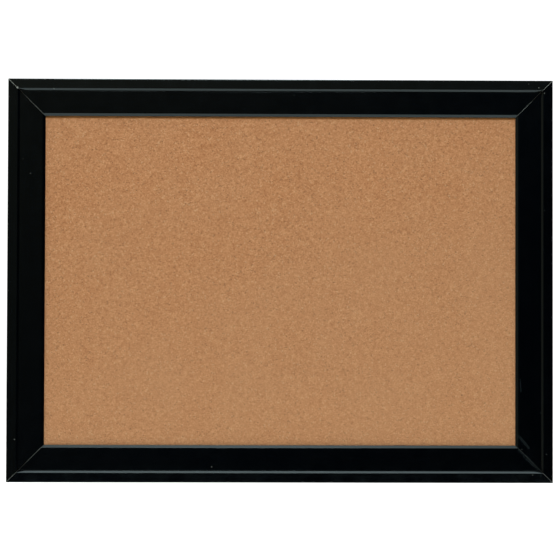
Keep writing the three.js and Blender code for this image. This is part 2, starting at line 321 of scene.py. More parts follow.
def foil_look():
    """Black foil: a satin skin with faint waves, dust, rubbed smears and pale core at the mitres."""
    look = Look("foil", IOR=1.5, Specular_Tint=(0.78, 1, 1.03, 1))
    ragged = look.ragged(1.6 * MM, 1.4 * MM)
    from_mitre, from_edge = look.from_joints()
    outer, inner = (look.by_corner({name: pair[k] for name, pair in MITRE_WEAR.items()}) for k in (0, 1))
    exposed = look.step(from_edge, STRIP_WIDTH, STRIP_WIDTH + 2 * MM, outer, inner)
    half_width = look.step(look.noise(4 * MM), 0.35, 0.7, 0.28 * MM, 0.42 * MM)
    line = look.step(from_mitre, look.math("MULTIPLY", half_width, 0.5), half_width, 1.0, 0.0)
    worn = look.math("MULTIPLY", line, exposed)
    for x_mm, z_mm, radius, paleness in CHIPS:
        chip = look.spot(x_mm * MM, z_mm * MM, radius * MM, look.math("MULTIPLY", ragged, 0.5))
        worn = look.math("MAXIMUM", worn, look.math("MULTIPLY", chip, paleness))

    smeared = None
    for x0, z0, x1, z1, radius in SMEARS:
        stroke = look.stroke(x0 * MM, z0 * MM, x1 * MM, z1 * MM, radius * MM, ragged)
        smeared = stroke if smeared is None else look.math("MAXIMUM", smeared, stroke)

    grain = look.step(look.cells("Distance", 9 * MM), 0.02, 0.05, 1.0, 0.0)
    dust = look.math("MULTIPLY", grain, look.step(look.noise(31 * MM, 1.0), 0.5, 0.62))

    black = look.mix(look.noise(60 * MM, 3.0), (0.0001, 0.0004, 0.001), (0.0003, 0.0008, 0.0015))
    dusty = look.mix(look.math("MULTIPLY", dust, 0.6), black, (0.026, 0.028, 0.026))
    rubbed = look.mix(look.math("MULTIPLY", smeared, 0.7), dusty, (0.004, 0.0066, 0.0074))
    pale = look.mix(look.noise(2.5 * MM, 3.0), (0.26, 0.3, 0.27), (0.44, 0.48, 0.43))
    look.set("Base Color", look.mix(worn, rubbed, pale))

    satin = look.step(look.noise(14 * MM, 4.0), 0.3, 0.7, 0.13, 0.19)
    scuffed = look.math("ADD", satin, look.math("MULTIPLY", smeared, 0.12))
    look.set("Roughness", look.math("ADD", scuffed, look.math("MULTIPLY", worn, 0.5), clamp=True))

    waves = look.bump(look.noise(28 * MM, 2.0), 0.02 * MM)
    look.bump(look.noise(0.9 * MM, 3.0), 0.004 * MM, waves)
    return look.material


def raw_board_look():
    """Bare fibreboard: planed along the rail, porous, handled, and dark with glue at the mitres."""
    look = Look("raw_fibreboard", Roughness=0.85, IOR=1.4)
    stile = look.on_stile()
    fibres = look.noise(0.8 * MM, 6.0, 0.65)
    along_x = look.noise(2.2 * MM, 5.0, 0.6, look.stretched((0.06, 1, 1)))
    along_z = look.noise(2.2 * MM, 5.0, 0.6, look.stretched((1, 1, 0.06)))
    turned = look.math("MULTIPLY", stile, look.math("SUBTRACT", along_z, along_x))
    planed = look.math("ADD", along_x, turned)
    tone = look.math("ADD", look.math("MULTIPLY", fibres, 0.86), look.math("MULTIPLY", planed, 0.14))
    brown = look.ramp(tone, [
        (0.34, (0.15, 0.092, 0.05)),
        (0.5, (0.27, 0.182, 0.108)),
        (0.64, (0.37, 0.265, 0.165)),
    ])
    lighter = look.mix(look.math("MULTIPLY", stile, 0.3), brown, (0.36, 0.27, 0.18))
    handled = look.math("MULTIPLY", look.step(look.noise(38 * MM, 4.0), 0.48, 0.68), 0.45)
    soiled = look.mix(handled, lighter, (0.12, 0.078, 0.046))
    from_mitre, _ = look.from_joints()
    ragged = look.math("ADD", from_mitre, look.ragged(3 * MM, 1.6 * MM))
    glued = look.step(ragged, 0.35 * MM, 0.9 * MM, 0.8, 0.0)
    look.set("Base Color", look.mix(glued, soiled, (0.07, 0.042, 0.024)))
    look.bump(look.math("ADD", fibres, look.noise(0.3 * MM, 4.0)), 0.1 * MM)
    return look.material


def cork_look():
    """Pressed cork granules: each has its own brown, with dark bark grains and pale flecks. Painted into the
    colour: the shade in one hollow as a dark spot, a shadow under the top rail, and light that grows towards
    the lower right.
    """
    look = Look("cork", Roughness=0.92, IOR=1.35)
    clouds = look.noise(4 * MM, 2.0)
    coarse_tint = look.math("MULTIPLY", look.cell_number(1.9 * MM), 0.3)
    fine_tint = look.math("MULTIPLY", look.cell_number(1.1 * MM), 0.51)
    blotch = look.math("MULTIPLY", clouds, 0.26)
    tint = look.math("ADD", look.math("ADD", coarse_tint, fine_tint), blotch)
    grains = look.ramp(tint, [
        (0.12, (0.415, 0.168, 0.063)),
        (0.35, (0.52, 0.234, 0.096)),
        (0.6, (0.582, 0.277, 0.122)),
        (0.88, (0.682, 0.365, 0.173)),
    ])

    bark = look.step(look.cell_number(1.7 * MM, look.stretched((1, 1, 1.3))), 0.93, 0.97)
    speck = look.math("MULTIPLY", bark, look.step(look.noise(0.8 * MM), 0.4, 0.6))
    dark = look.mix(look.math("MULTIPLY", speck, 0.65), grains, (0.2, 0.088, 0.034))
    fleck = look.step(look.cell_number(1.4 * MM, look.stretched((1.2, 1, 1))), 0.95, 0.98)
    light = look.mix(look.math("MULTIPLY", fleck, 0.45), dark, (0.72, 0.5, 0.28))
    # Painted shade: a dark spot painted where a hollow in the cork would lie in shade.
    painted_pit_shade = look.spot(195.2 * MM, -122.2 * MM, 1.3 * MM, look.math("MULTIPLY", clouds, 0.4 * MM))
    x, _, z = look.axes()
    sight = HEIGHT / 2 - RAIL_WIDTH
    # Painted light: the cork is painted lighter and yellower towards the bottom, more so to the right,
    # standing in for light that falls unevenly across it. The drift is the cork's own tone at random.
    lower = look.step(look.math("MULTIPLY_ADD", x, -0.3, z), -sight, sight, 0.26, 0.0)
    drift = look.step(look.noise(70 * MM, 4.0), 0.3, 0.7, 0.0, 0.12)
    drift_and_painted_light = look.mix(look.math("ADD", lower, drift), light, (0.594, 0.341, 0.176))
    # Painted shadow: the cork is painted darker and more orange in a band just below the top rail's lip,
    # where the lip's shadow falls.
    painted_lip_shadow = look.step(z, sight - 3.2 * MM, sight - 1.2 * MM, 0.0, 0.8)
    with_lip_shadow = look.mix(painted_lip_shadow, drift_and_painted_light, (0.42, 0.17, 0.035))
    # The base colour, with the hollow's painted shade laid over it.
    look.set("Base Color", look.mix(look.math("MULTIPLY", painted_pit_shade, 0.7), with_lip_shadow, (0.13, 0.06, 0.03)))

    packed = look.step(look.cells("Distance", 2.1 * MM, "DISTANCE_TO_EDGE"), 0.0, 0.18)
    relief = look.math("ADD", look.math("MULTIPLY", packed, 0.6), look.math("MULTIPLY", fine_tint, 1.2))
    coarse_bump = look.bump(look.math("SUBTRACT", relief, speck), 0.12 * MM)
    look.bump(look.noise(0.35 * MM, 4.0, 0.6), 0.05 * MM, coarse_bump)
    return look.material


def softboard_look():
    """Pressed wood fibres, pale and open."""
    look = Look("softboard", Roughness=0.95, IOR=1.35)
    fibres = look.noise(1.2 * MM, 6.0, 0.7, look.stretched((1, 3, 1)))
    look.set("Base Color", look.ramp(fibres, [(0.3, (0.2, 0.15, 0.095)), (0.7, (0.42, 0.34, 0.24))]))
    look.bump(fibres, 0.25 * MM)
    return look.material


def hardboard_look():
    """Wet-process hardboard: dark brown fibres under the print of the press's wire screen."""
    look = Look("hardboard", Roughness=0.7, IOR=1.45)
    fibres = look.noise(2.2 * MM, 8.0, 0.7)
    brown = look.ramp(fibres, [
        (0.3, (0.05, 0.023, 0.011)),
        (0.5, (0.118, 0.06, 0.029)),
        (0.72, (0.21, 0.12, 0.062)),
    ])
    clouds = look.step(look.noise(45 * MM, 3.0), 0.4, 0.66, 0.0, 0.5)
    mottled = look.mix(clouds, brown, (0.075, 0.036, 0.017))
    scuffs = look.noise(16 * MM, 6.0, 0.7, look.stretched((1, 1, 0.22)))
    look.set("Base Color", look.mix(look.step(scuffs, 0.6, 0.72, 0.0, 0.3), mottled, (0.3, 0.2, 0.12)))

    x, _, z = look.axes()
    pitch = 2.1 * MM
    ridges = [look.math("SINE", look.math("MULTIPLY", axis, 2 * math.pi / pitch)) for axis in (x, z)]
    look.set("Roughness", look.step(fibres, 0.3, 0.7, 0.62, 0.8))
    printed = look.bump(look.math("MULTIPLY", *ridges), 0.05 * MM)
    look.bump(fibres, 0.05 * MM, printed)
    return look.material


def zinc_look(name, tone, grain):
    """Bright zinc plate with rolling marks, cloudy passivation and a few dull spots."""
    look = Look(name, Metallic=1.0)
    clouds = look.noise(5 * MM, 5.0)
    bright = tuple(channel * tone for channel in (0.52, 0.53, 0.53))
    dull = tuple(channel * tone for channel in (0.33, 0.335, 0.33))
    spots = look.step(look.noise(1.4 * MM, 3.0), 0.62, 0.72)
    plated = look.mix(look.step(clouds, 0.35, 0.65), dull, bright)
    look.set("Base Color", look.mix(look.math("MULTIPLY", spots, 0.5), plated, (0.2, 0.18, 0.15)))
    look.set("Roughness", look.step(clouds, 0.3, 0.7, 0.46, 0.28))
    look.bump(look.noise(0.25 * MM, 3.0, vector=look.stretched(grain)), 0.02 * MM)
    return look.material


def nail_look():
    """Plain steel under a thin dark film."""
    look = Look("nail_steel", Metallic=1.0)
    film = look.noise(1.5 * MM, 4.0)
    filmed = look.step(film, 0.4, 0.65)
    look.set("Base Color", look.mix(filmed, (0.42, 0.41, 0.39), (0.24, 0.21, 0.18)))
    look.set("Roughness", look.step(film, 0.3, 0.7, 0.35, 0.6))
    look.bump(look.noise(0.3 * MM, 3.0), 0.02 * MM)
    return look.material


def rubber_look():
    """Moulded black rubber, dusty in patches."""
    look = Look("rubber", IOR=1.5)
    bloom = look.noise(2.5 * MM, 4.0)
    dusty = look.step(bloom, 0.4, 0.75)
    look.set("Base Color", look.mix(dusty, (0.009, 0.009, 0.009), (0.03, 0.029, 0.027)))
    look.set("Roughness", look.step(bloom, 0.3, 0.7, 0.55, 0.8))
    look.bump(look.noise(0.2 * MM, 4.0), 0.03 * MM)
    return look.material


FOIL = foil_look()
RAW_BOARD = raw_board_look()
CORK = cork_look()
SOFTBOARD = softboard_look()
HARDBOARD = hardboard_look()
ZINC_PLATE = zinc_look("zinc_plate", 1.0, (8, 1, 0.3))
ZINC_WIRE = zinc_look("zinc_wire", 1.08, (1, 1, 1))
POINT_STEEL = zinc_look("point_steel", 0.8, (0.3, 1, 8))
NAIL_STEEL = nail_look()
RUBBER = rubber_look()

# ---- Mesh helpers -------------------------------------------------------------------------------------


def mesh_object(name, points, faces, materials, face_materials=None):
    """A new object in the scene, its faces turned outwards."""
    mesh = bpy.data.meshes.new(name)
    mesh.from_pydata([tuple(point) for point in points], [], faces)
    for material in materials:
        mesh.materials.append(material)
    if face_materials:
        mesh.polygons.foreach_set("material_index", face_materials)
    work = bmesh.new()
    work.from_mesh(mesh)
    bmesh.ops.recalc_face_normals(work, faces=work.faces)
    work.to_mesh(mesh)
    work.free()
    thing = bpy.data.objects.new(name, mesh)
    bpy.context.scene.collection.objects.link(thing)
    return thing


def applied(thing):
    """Applies the modifiers of thing to its mesh."""
    shown = thing.evaluated_get(bpy.context.evaluated_depsgraph_get())
    mesh = bpy.data.meshes.new_from_object(shown)
    thing.modifiers.clear()
    thing.data = mesh
    return thing


def smooth(thing, degrees=35):
    """Shades thing smooth, except over edges sharper than degrees."""
    thing.data.polygons.foreach_set("use_smooth", [True] * len(thing.data.polygons))
    thing.data.set_sharp_from_angle(angle=math.radians(degrees))
    return thing


def soften(thing, width, segments=2, degrees=30):
    """Rounds the sharp edges of thing."""
    bevel = thing.modifiers.new("soften", "BEVEL")
    bevel.width = width
    bevel.segments = segments
    bevel.limit_method = "ANGLE"
    bevel.angle_limit = math.radians(degrees)
    bevel.use_clamp_overlap = True
    return thing


def boolean(thing, tools, operation="DIFFERENCE"):
    """Cuts thing by each of tools, or keeps what they share, and deletes the tools."""
    for tool in tools:
        modifier = thing.modifiers.new("boolean", "BOOLEAN")
        modifier.operation = operation
        modifier.solver = "EXACT"
        modifier.object = tool
    applied(thing)
    for tool in tools:
        bpy.data.objects.remove(tool)
    return thing


def finished(thing, body, nodes):
    """Hands thing to the frame: the CAD nodes that it replaces and its body."""
    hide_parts(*nodes)
    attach(thing, body)
    return thing


def arc(centre, radii, start, end, steps):
    """Points on an ellipse's arc, first and last included."""
    angles = np.linspace(start, end, steps + 1)
    return [(centre[0] + radii[0] * math.cos(a), centre[1] + radii[1] * math.sin(a)) for a in angles]


def between(name, points, material):
    """The solid between two outlines, whose points come one outline after the other."""
    count = len(points) // 2
    walls = [(i, (i + 1) % count, (i + 1) % count + count, i + count) for i in range(count)]
    return mesh_object(name, points, [range(count), range(count, 2 * count), *walls], [material])


def prism(name, outline, y_low, y_high, material):
    """An outline in X and Z, made solid between two values of y."""
    return between(name, [(x, y, z) for y in (y_low, y_high) for x, z in outline], material)


def bar(name, outline, half_length, material):
    """An outline in Y and Z, made solid along X, about x = 0."""
    return between(name, [(x, y, z) for x in (-half_length, half_length) for y, z in outline], material)


def lathe(name, profile, steps, material):
    """A profile of (radius, y) turned about Y. It starts and ends on the axis."""
    rim = profile[1:-1]
    points = [(0, profile[0][1], 0)]
    for angle in np.linspace(0, 2 * math.pi, steps, endpoint=False):
        points += [(r * math.cos(angle), y, r * math.sin(angle)) for r, y in rim]
    points.append((0, profile[-1][1], 0))
    last = len(points) - 1
    size = len(rim)
    faces = []
    for i in range(steps):
        a, b = 1 + i * size, 1 + (i + 1) % steps * size
        faces.append((0, a, b))
        faces += [(a + k, a + k + 1, b + k + 1, b + k) for k in range(size - 1)]
        faces.append((a + size - 1, last, b + size - 1))
    return mesh_object(name, points, faces, [material])


def sweep(name, path, radius, sides, material):
    """A round wire along a flat path of (x, z) points, with capped ends."""
    line = np.array(path)
    ahead = np.gradient(line, axis=0)
    ahead /= np.linalg.norm(ahead, axis=1)[:, None]
    points = []
    for (x, z), (tx, tz) in zip(line, ahead):
        for angle in np.linspace(0, 2 * math.pi, sides, endpoint=False):
            out = radius * math.cos(angle)
            points.append((x - tz * out, radius * math.sin(angle), z + tx * out))
    rings = [range(i * sides, (i + 1) * sides) for i in range(len(line))]
    faces = [rings[0], rings[-1]]
    for a, b in zip(rings, rings[1:]):
        faces += [(a[k], a[(k + 1) % sides], b[(k + 1) % sides], b[k]) for k in range(sides)]
    return mesh_object(name, points, faces, [material])


def place(thing, matrix):
    """Moves the mesh of thing, and leaves its origin."""
    thing.data.transform(matrix)
    return thing


def side_matrix(side):
    """From a side built as a top rail to its place on the board."""
    return Matrix.Rotation(side["turn"], 4, "Y") @ Matrix.Translation((0, 0, side["edge"]))


# ---- Rails --------------------------------------------------------------------------------------------


def eased(before, corner, after):
    """A corner of an outline turned into a small round, as three points."""
    here = np.array(corner)
    to_before, to_after = (np.array(end) - here for end in (before, after))
    start = here + to_before * CREASE / np.linalg.norm(to_before)
    end = here + to_after * CREASE / np.linalg.norm(to_after)
    return [tuple(start), tuple(here * 0.5 + (start + end) * 0.25), tuple(end)]


def supported(points):
    """The points with two more near the ends of each long straight."""
    found = []
    for start, end in zip(points, points[1:]):
        along = np.array(end) - np.array(start)
        length = np.linalg.norm(along)
        found.append(start)
        if length > 4 * SUPPORT:
            near = along * SUPPORT / length
            found += [tuple(np.array(start) + near), tuple(np.array(end) - near)]
    return [*found, points[-1]]


def section_points():
    """The moulding's outline as (inwards from the outer edge, back from the front, is the next face foil)."""
    slope_end = STRIP_WIDTH + SLOPE_WIDTH
    band_start = slope_end + QUIRK_WIDTH
    lip = BAND_DEPTH + BEVEL_FALL
    rebate = RAIL_WIDTH - REBATE_WIDTH
    round_edge = STRIP_FALL + OUTER_RADIUS
    foil = [(FOIL_WRAP, RAIL_THICKNESS)]
    foil += arc((BACK_RADIUS, RAIL_THICKNESS - BACK_RADIUS), (BACK_RADIUS,) * 2, QUARTER, 2 * QUARTER, 4)
    foil += arc((OUTER_RADIUS, round_edge), (OUTER_RADIUS,) * 2, 2 * QUARTER, 3 * QUARTER, ARC_STEPS)
    corners = [
        foil[-1],
        (STRIP_WIDTH, 0),
        (slope_end, BAND_DEPTH),
        (slope_end, BAND_DEPTH + QUIRK_DEPTH),
        (band_start, BAND_DEPTH + QUIRK_DEPTH),
        (band_start, BAND_DEPTH),
        (RAIL_WIDTH - BEVEL_WIDTH, BAND_DEPTH),
        (RAIL_WIDTH, lip),
        (RAIL_WIDTH, LIP_THICKNESS),
    ]
    for before, corner, after in zip(corners, corners[1:], corners[2:]):
        foil += eased(before, corner, after)
    foil = supported([*foil, corners[-1]])
    bare = [(rebate, LIP_THICKNESS), (rebate, RAIL_THICKNESS)]
    wrapped = [(*point, True) for point in foil[:-1]]
    return [*wrapped, (*foil[-1], False), *[(*point, False) for point in bare]]


def inset_section(section, amount):
    """The outline shrunk by amount, for the arris of a sawn end."""
    points = np.array([point[:2] for point in section])
    edges = np.roll(points, -1, axis=0) - points
    edges /= np.linalg.norm(edges, axis=1)[:, None]
    area = 0.5 * np.sum(points[:, 0] * np.roll(points[:, 1], -1) - np.roll(points[:, 0], -1) * points[:, 1])
    inward = np.stack([-edges[:, 1], edges[:, 0]], axis=1) * np.sign(area)
    before = np.roll(inward, 1, axis=0)
    both = inward + before
    both /= np.linalg.norm(both, axis=1)[:, None]
    spread = np.maximum(np.sum(both * inward, axis=1), 0.5)
    return points + both * (amount / spread)[:, None]


def rail(side):
    """One mitred length of the moulding, foil outside and bare board inside."""
    section = section_points()
    whole = np.array([point[:2] for point in section])
    small = inset_section(section, ARRIS)
    setback = MITRE_GAP * math.sqrt(0.5)
    ends = ((small, 0), (whole, ARRIS_RUN), (whole, ARRIS_RUN + SUPPORT))
    rings = []
    for shape, back in ends:
        rings.append([(-side["length"] / 2 + u + setback + back, FRONT + d, -u) for u, d in shape])
    for shape, back in reversed(ends):
        rings.append([(side["length"] / 2 - u - setback - back, FRONT + d, -u) for u, d in shape])

    count = len(section)
    spans = len(rings) - 1
    faces = [range(count), range(spans * count, (spans + 1) * count)]
    skins = [1, 1]
    for k in range(spans):
        for i in range(count):
            j = (i + 1) % count
            faces.append((k * count + i, k * count + j, (k + 1) * count + j, (k + 1) * count + i))
            skins.append(0 if section[i][2] else 1)
    points = [point for ring in rings for point in ring]
    piece = mesh_object(f"{side['rail']}_moulding", points, faces, [FOIL, RAW_BOARD], skins)
    return place(piece, side_matrix(side))


def pocket_tool(node, play):
    """A cutter around a CAD node: its own mesh, grown by play."""
    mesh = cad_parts[node].data.copy()
    tool = bpy.data.objects.new("pocket", mesh)
    bpy.context.scene.collection.objects.link(tool)
    work = bmesh.new()
    work.from_mesh(mesh)
    bmesh.ops.remove_doubles(work, verts=work.verts, dist=1e-7)
    bmesh.ops.dissolve_limit(work, angle_limit=0.01, verts=work.verts, edges=work.edges)
    work.normal_update()
    moves = [vertex.normal * vertex.calc_shell_factor() * play for vertex in work.verts]
    for vertex, move in zip(work.verts, moves):
        vertex.co += move
    work.to_mesh(mesh)
    work.free()
    return tool


def build_rails():
    """The four rails, with a pocket for each thing that is driven into them."""
    for name, side in SIDES.items():
        piece = rail(side)
        nails = [
            f"v_nail_{corner}_{place_name}"
            for corner in CORNERS
            if name in corner.split("_")
            for place_name in ("outer", "inner")
        ]
        points = [f"framer_point_{name}_{i + 1}" for i in range(POINTS[name])]
        screws = [f"hanger_screw_{hanger}" for hanger in HANGERS.get(name, ())]
        boolean(piece, [pocket_tool(node, POCKET_PLAY) for node in nails + points + screws])
        smooth(piece, 50)
        finished(piece, "board", [side["rail"]])


# ---- Sheets -------------------------------------------------------------------------------------------

CORK_PITCH = 1.5 * MM
CORK_RELIEF = 0.14 * MM


def build_cork():
    """The cork sheet: its front face is a fine grid that dips between the grains."""
    low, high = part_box("cork_sheet")
    across = round((high.x - low.x) / CORK_PITCH)
    up = round((high.z - low.z) / CORK_PITCH)
    points = []
    for z in np.linspace(low.z, high.z, up + 1):
        for x in np.linspace(low.x, high.x, across + 1):
            grain = 0.5 + 0.5 * noise.noise(Vector((x, 0.3, z)) / (2.6 * MM))
            swell = 0.5 + 0.5 * noise.noise(Vector((x, 1.7, z)) / (24 * MM))
            dip = CORK_RELIEF * min(1, max(0, 0.65 * grain + 0.35 * swell))
            points.append((x, low.y + dip, z))
    row = across + 1
    faces = [
        (k * row + i, k * row + i + 1, (k + 1) * row + i + 1, (k + 1) * row + i)
        for k in range(up)
        for i in range(across)
    ]
    border = list(range(row))
    border += [k * row + across for k in range(1, up + 1)]
    border += [up * row + i for i in range(across - 1, -1, -1)]
    border += [k * row for k in range(up - 1, 0, -1)]
    first = len(points)
    points += [(points[i][0], high.y, points[i][2]) for i in border]
    size = len(border)
    faces += [(border[i], border[(i + 1) % size], first + (i + 1) % size, first + i) for i in range(size)]
    faces.append(range(first, first + size))
    piece = mesh_object("cork_face_sheet", points, faces, [CORK])
    smooth(piece, 40)
    finished(piece, "board", ["cork_sheet"])


def dress(node, material, width):
    """Gives a CAD node its material and soft edges, and leaves its mesh alone."""
    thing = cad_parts[node]
    thing.data.materials.clear()
    thing.data.materials.append(material)
    soften(thing, width, 1)


# ---- Framer's points ----------------------------------------------------------------------------------

POINT_TIP = 3.5 * MM
POINT_EDGE = 0.1 * MM
DIMPLE = {"from_tail": 4.2 * MM, "radius": 1.5 * MM, "height": 0.22 * MM, "sunk": 0.2 * MM}


def build_point(side_name, index):
    """A flexible tab: a flat blade with a pointed tip, a round tail and a pressed dimple."""
    side = SIDES[side_name]
    node = f"framer_point_{side_name}_{index + 1}"
    low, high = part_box(node)
    inverse = side_matrix(side).inverted()
    corners = [inverse @ Vector((x, 0, z)) for x in (low.x, high.x) for z in (low.z, high.z)]
    left, right = min(c.x for c in corners), max(c.x for c in corners)
    tail, tip = min(c.z for c in corners), max(c.z for c in corners)
    middle, half = (left + right) / 2, (right - left) / 2
    outline = [(middle, tip), (left, tip - POINT_TIP)]
    outline += arc((middle, tail + half), (half, half), math.pi, 2 * math.pi, 20)
    outline.append((right, tip - POINT_TIP))
    blade = prism(f"flex_tab_{side_name}_{index + 1}", outline, low.y, high.y, POINT_STEEL)
    soften(blade, POINT_EDGE)
    applied(blade)
    radius, height, sunk = DIMPLE["radius"], DIMPLE["height"], DIMPLE["sunk"]
    dome = [(0, -sunk), (radius, -sunk)]
    dome += [(radius * math.cos(a), height * math.sin(a)) for a in np.linspace(0, QUARTER, 8)]
    dome[-1] = (0, height)
    bump = lathe("dimple", dome, 24, POINT_STEEL)
    place(bump, Matrix.Translation((middle, high.y, tail + DIMPLE["from_tail"])))
    boolean(blade, [bump], "UNION")
    place(smooth(blade), side_matrix(side))
    finished(blade, "board", [node])


# ---- Hangers ------------------------------------------------------------------------------------------

STRAP_EDGE = 0.12 * MM
HOLE_RADIUS = 2 * MM  # the strap's, for its screw
SEAM_HALF = 0.04 * MM  # half the gap between the strap's two layers
SEAM_TOP = -0.9 * EYE_RADIUS
CUTTER_HALF = 3 * MM  # reaches past the strap's front and back
OVERCUT = 1 * MM  # how far the other cutters run past the strap
BEND_STEPS = 28
ROUND_STEPS = 32
RING_EDGE = 0.15 * MM  # round the wire's sawn ends


def circle(centre, radius):
    return arc(centre, (radius, radius), 0, 2 * math.pi, ROUND_STEPS)[:-1]


def hanger_matrix(side, strap):
    """A hanger's own frame. Its origin is on the ring's axis, and the strap's tail runs to -Z."""
    low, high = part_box(strap)
    middle = side_matrix(side).inverted() @ ((low + high) / 2)
    return side_matrix(side) @ Matrix.Translation((middle.x, EYE_Y, -HANGER_INSET))


def build_strap(name, matrix):
    """A strip folded round the ring's bar: two layers with a seam between them, and a rounded tail."""
    front, back = -EYE_RADIUS, -EYE_RADIUS + 2 * SHEET_METAL
    meeting = math.atan2(-math.sqrt(EYE_RADIUS**2 - back**2), back)
    section = [(front, -STRAP_TAIL), (front, 0)]
    section += arc((0, 0), (EYE_RADIUS,) * 2, math.pi, meeting, BEND_STEPS)
    section.append((back, -STRAP_TAIL))
    piece = bar(f"strap_{name}", section, STRAP_WIDTH / 2, ZINC_PLATE)

    half = STRAP_WIDTH / 2
    plan = [(-half, 2 * EYE_RADIUS)]
    plan += arc((0, -STRAP_TAIL + half), (half, half), math.pi, 2 * math.pi, BEND_STEPS)
    plan.append((half, 2 * EYE_RADIUS))
    outline = prism("plan", plan, -CUTTER_HALF, CUTTER_HALF, ZINC_PLATE)
    boolean(piece, [outline], "INTERSECT")
    eye = bar("eye", circle((0, 0), WIRE_RADIUS + WIRE_PLAY), half + OVERCUT, ZINC_PLATE)
    near, far = (front + SHEET_METAL + offset for offset in (-SEAM_HALF, SEAM_HALF))
    low = -STRAP_TAIL - OVERCUT
    slit = [(near, low), (near, SEAM_TOP), (far, SEAM_TOP), (far, low)]
    seam = bar("seam", slit, half + OVERCUT, ZINC_PLATE)
    hole = prism("hole", circle((0, -SCREW_AT), HOLE_RADIUS), -CUTTER_HALF, CUTTER_HALF, ZINC_PLATE)
    boolean(piece, [eye, hole])
    boolean(piece, [seam])
    soften(piece, STRAP_EDGE)
    applied(piece)
    place(smooth(piece), matrix)
    finished(piece, "board", [f"hanger_strap_{name}"])


def build_ring(name, matrix):
    """A wire bent to a D, its ends meeting inside the eye."""
    half, corner = RING_HALF_WIDTH, RING_CORNER
    shoulder = RING_REACH - half
    path = [(RING_SEAM / 2, 0), (2 * MM, 0), (4 * MM, 0)]
    path += arc((half - corner, -corner), (corner,) * 2, QUARTER, 0, 8)
    path += arc((0, -shoulder), (half,) * 2, 0, -math.pi, 40)
    path += arc((-half + corner, -corner), (corner,) * 2, math.pi, QUARTER, 8)
    path += [(-4 * MM, 0), (-2 * MM, 0), (-RING_SEAM / 2, 0)]
    wire = sweep(f"ring_{name}", path, WIRE_RADIUS, 20, ZINC_WIRE)
    soften(wire, RING_EDGE, degrees=60)
    applied(wire)
    place(smooth(wire, 50), matrix @ Matrix.Rotation(RING_REST, 4, "X"))
    finished(wire, f"ring_{name}", [f"d_ring_{name}"])


SCREW_HEAD_RADIUS = 3.4 * MM
SCREW_RIM = 0.7 * MM
SCREW_DOME = 1.3 * MM
SCREW_SHANK_RADIUS = 1.6 * MM
SCREW_LENGTH = 10 * MM
SCREW_TIP = 3.5 * MM
SCREW_SEAT = 0.05 * MM  # between the head and the strap
SCREW_EDGE = 0.15 * MM  # the chamfer round the head's foot
# The cross recess, at its mouth and at its floor: half an arm's length and half its width.
RECESS_MOUTH = (1.85 * MM, 0.5 * MM)
RECESS_FLOOR = (0.75 * MM, 0.3 * MM)
RECESS_DEPTH = 1.25 * MM
RECESS_OVERCUT = 0.2 * MM
RECESS_TURN = math.radians(20)


def build_screw(name, matrix):
    """A pan head screw with a tapered cross recess."""
    head, shank, height = SCREW_HEAD_RADIUS, SCREW_SHANK_RADIUS, SCREW_RIM + SCREW_DOME
    profile = [(0, -SCREW_LENGTH), (shank, -SCREW_LENGTH + SCREW_TIP), (shank, 0)]
    profile += [(head - SCREW_EDGE, 0), (head, SCREW_EDGE)]
    profile += arc((0, SCREW_RIM), (head, SCREW_DOME), 0, QUARTER, 12)
    profile[-1] = (0, height)
    piece = lathe(f"screw_{name}", profile, 48, ZINC_PLATE)

    points = []
    levels = ((height + RECESS_OVERCUT, RECESS_MOUTH), (height - RECESS_DEPTH, RECESS_FLOOR))
    for y, (reach, half) in levels:
        points += [(-reach, y, -half), (reach, y, -half), (reach, y, half), (-reach, y, half)]
    turns = [Matrix.Rotation(turn + RECESS_TURN, 4, "Y") for turn in (0, QUARTER)]
    boolean(piece, [place(between("arm", points, ZINC_PLATE), turn) for turn in turns])
    seat = Matrix.Translation((0, STRAP_BACK - EYE_Y + SCREW_SEAT, -SCREW_AT))
    place(smooth(piece, 30), matrix @ seat)
    finished(piece, "board", [f"hanger_screw_{name}"])


# ---- Bumpers ------------------------------------------------------------------------------------------

PAD_FLAT = 3.2 * MM  # radius of the flat end
PAD_DRAFT = 0.25 * MM  # how much narrower the pad is above its foot
FOOT_EDGE = 0.2 * MM
FOOT_HEIGHT = 0.5 * MM
FOOT_TOP = 0.7 * MM


def build_bumper(corner):
    """A moulded pad: a low foot, a narrower body and a round shoulder to the flat end."""
    low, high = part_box(f"bumper_{corner}")
    radius, tall = (high.x - low.x) / 2, high.y - low.y
    shoulder = radius - PAD_FLAT
    profile = [(0, 0), (radius - FOOT_EDGE, 0), (radius, FOOT_EDGE), (radius, FOOT_HEIGHT)]
    profile.append((radius - PAD_DRAFT, FOOT_TOP))
    profile += arc((PAD_FLAT, tall - shoulder), (shoulder - PAD_DRAFT, shoulder), 0, QUARTER, 12)[1:]
    profile.append((0, tall))
    piece = lathe(f"pad_{corner}", profile, 64, RUBBER)
    middle = (low + high) / 2
    place(smooth(piece, 40), Matrix.Translation((middle.x, low.y, middle.z)))
    finished(piece, "board", [f"bumper_{corner}"])


# ---- Camera, light and floor --------------------------------------------------------------------------

LENS = 85
CAMERA_AWAY = 1.4155
CAMERA_YAW = math.radians(0.51)
CAMERA_PITCH = math.radians(0.92)
CAMERA_ROLL = math.radians(0.16)
AIM = Vector((-0.0005, FRONT + STRIP_FALL + OUTER_RADIUS, 0.0007))


